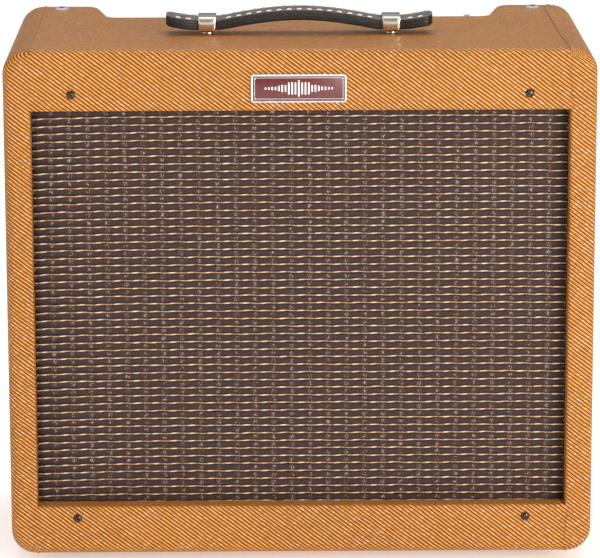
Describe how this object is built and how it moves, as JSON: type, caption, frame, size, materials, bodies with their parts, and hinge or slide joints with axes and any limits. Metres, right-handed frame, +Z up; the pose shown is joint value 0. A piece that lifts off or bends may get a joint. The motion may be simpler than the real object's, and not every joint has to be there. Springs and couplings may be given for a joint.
{
  "type": "guitar amplifier",
  "caption": "Valve guitar combo amplifier in lacquered tweed: open-backed cabinet, striped grille, strap handle, top control panel, loudspeaker and working controls.",
  "frame": {"origin": "on the floor, at the middle of the cabinet's footprint, level with the undersides of the rubber feet", "axes": "+X to the right when the grille is faced, +Y from the grille to the open back, +Z up"},
  "size_m": [0.457, 0.235, 0.4321],
  "materials": {
    "lacquered_tweed": "twill weave under a glossy varnish",
    "pine": "planed, unfinished",
    "birch_ply": "sanded plywood",
    "grille_cloth": "woven oxblood cloth with gold stripes",
    "nameplate_metal": "polished frame with a maroon enamel field",
    "rubber": "matte moulded rubber",
    "black_screw": "black oxide",
    "chrome": "polished",
    "zinc_steel": "bright zinc plate",
    "black_leather": "grained leather with white stitching",
    "nickel": "polished nickel plate",
    "black_phenolic": "glossy moulded phenolic",
    "black_nylon": "matte moulded nylon",
    "red_jewel": "faceted clear red jewel",
    "circuit_laminate": "lacquered circuit laminate",
    "tube_glass": "clear blown glass",
    "black_enamel": "black enamel",
    "cone_paper": "pressed doped paper",
    "coil_copper": "enamelled copper wire",
    "magnet_black": "black painted ferrite and steel",
    "cable_jacket": "satin jacket"
  },
  "bodies": {
    "cabinet": {"tweed_covering": "lacquered_tweed", "upper_back_panel": "lacquered_tweed", "lower_back_panel": "lacquered_tweed", "top_board": "pine", "bottom_board": "pine", "left_side_board": "pine", "right_side_board": "pine", "upper_front_rail": "pine", "lower_front_rail": "pine", "baffle_board": "birch_ply", "grille_cloth": "grille_cloth", "nameplate": "nameplate_metal", "foot_front_left": "rubber", "foot_front_right": "rubber", "foot_rear_left": "rubber", "foot_rear_right": "rubber", "baffle_screw_1": "black_screw", "baffle_screw_2": "black_screw", "baffle_screw_3": "black_screw", "baffle_screw_4": "black_screw", "chassis_screw_left": "chrome", "chassis_screw_right": "chrome", "handle_bracket_left": "nickel", "handle_bracket_right": "nickel", "chassis": "zinc_steel", "control_panel": "chrome", "circuit_board": "circuit_laminate", "input_jack": "chrome", "boost_switch": "zinc_steel", "pilot_lamp": "red_jewel", "power_switch": "zinc_steel", "mains_inlet": "black_nylon", "power_transformer": "black_enamel", "output_transformer": "black_enamel", "preamp_tube_1": "tube_glass", "preamp_tube_2": "tube_glass", "preamp_tube_3": "tube_glass", "power_tube_1": "tube_glass", "power_tube_2": "tube_glass", "speaker_basket": "black_enamel", "speaker_magnet": "magnet_black", "reverb_tank": "zinc_steel", "speaker_lead": "cable_jacket", "reverb_pot": "zinc_steel", "master_pot": "zinc_steel", "middle_pot": "zinc_steel", "bass_pot": "zinc_steel", "treble_pot": "zinc_steel", "volume_pot": "zinc_steel"},
    "handle": {"handle_strap": "black_leather"},
    "cone": {"speaker_cone": "cone_paper", "voice_coil": "coil_copper"},
    "boost_button": {"boost_button": "black_phenolic"},
    "power_lever": {"power_lever": "chrome"},
    "reverb_knob": {"reverb_knob": "black_phenolic"},
    "master_knob": {"master_knob": "black_phenolic"},
    "middle_knob": {"middle_knob": "black_phenolic"},
    "bass_knob": {"bass_knob": "black_phenolic"},
    "treble_knob": {"treble_knob": "black_phenolic"},
    "volume_knob": {"volume_knob": "black_phenolic"}
  },
  "joints": [
    {"name": "reverb_knob_turn", "type": "hinge", "parent": "cabinet", "child": "reverb_knob", "pos_m": [0.084, 0.08, 0.3917], "axis": [0, 0, 1], "range_deg": [-225, 75]},
    {"name": "master_knob_turn", "type": "hinge", "parent": "cabinet", "child": "master_knob", "pos_m": [0.051, 0.08, 0.3917], "axis": [0, 0, 1], "range_deg": [-200, 100]},
    {"name": "middle_knob_turn", "type": "hinge", "parent": "cabinet", "child": "middle_knob", "pos_m": [0.018, 0.08, 0.3917], "axis": [0, 0, 1], "range_deg": [-135, 165]},
    {"name": "bass_knob_turn", "type": "hinge", "parent": "cabinet", "child": "bass_knob", "pos_m": [-0.015, 0.08, 0.3917], "axis": [0, 0, 1], "range_deg": [-170, 130]},
    {"name": "treble_knob_turn", "type": "hinge", "parent": "cabinet", "child": "treble_knob", "pos_m": [-0.048, 0.08, 0.3917], "axis": [0, 0, 1], "range_deg": [-140, 160]},
    {"name": "volume_knob_turn", "type": "hinge", "parent": "cabinet", "child": "volume_knob", "pos_m": [-0.096, 0.08, 0.3917], "axis": [0, 0, 1], "range_deg": [-185, 115]},
    {"name": "boost_button_press", "type": "slide", "parent": "cabinet", "child": "boost_button", "axis": [0, 0, -1], "range_m": [0, 0.002], "stiffness_N_per_m": 400, "springref_m": -0.0015},
    {"name": "power_lever_flip", "type": "hinge", "parent": "cabinet", "child": "power_lever", "pos_m": [0.1385, 0.08, 0.3942], "axis": [1, 0, 0], "range_deg": [0, 24]},
    {"name": "cone_stroke", "type": "slide", "parent": "cabinet", "child": "cone", "axis": [0, 1, 0], "range_m": [-0.002, 0.002], "stiffness_N_per_m": 8500},
    {"name": "handle_shift", "type": "slide", "parent": "cabinet", "child": "handle", "axis": [1, 0, 0], "range_m": [-0.0025, 0.0025]}
  ]
}
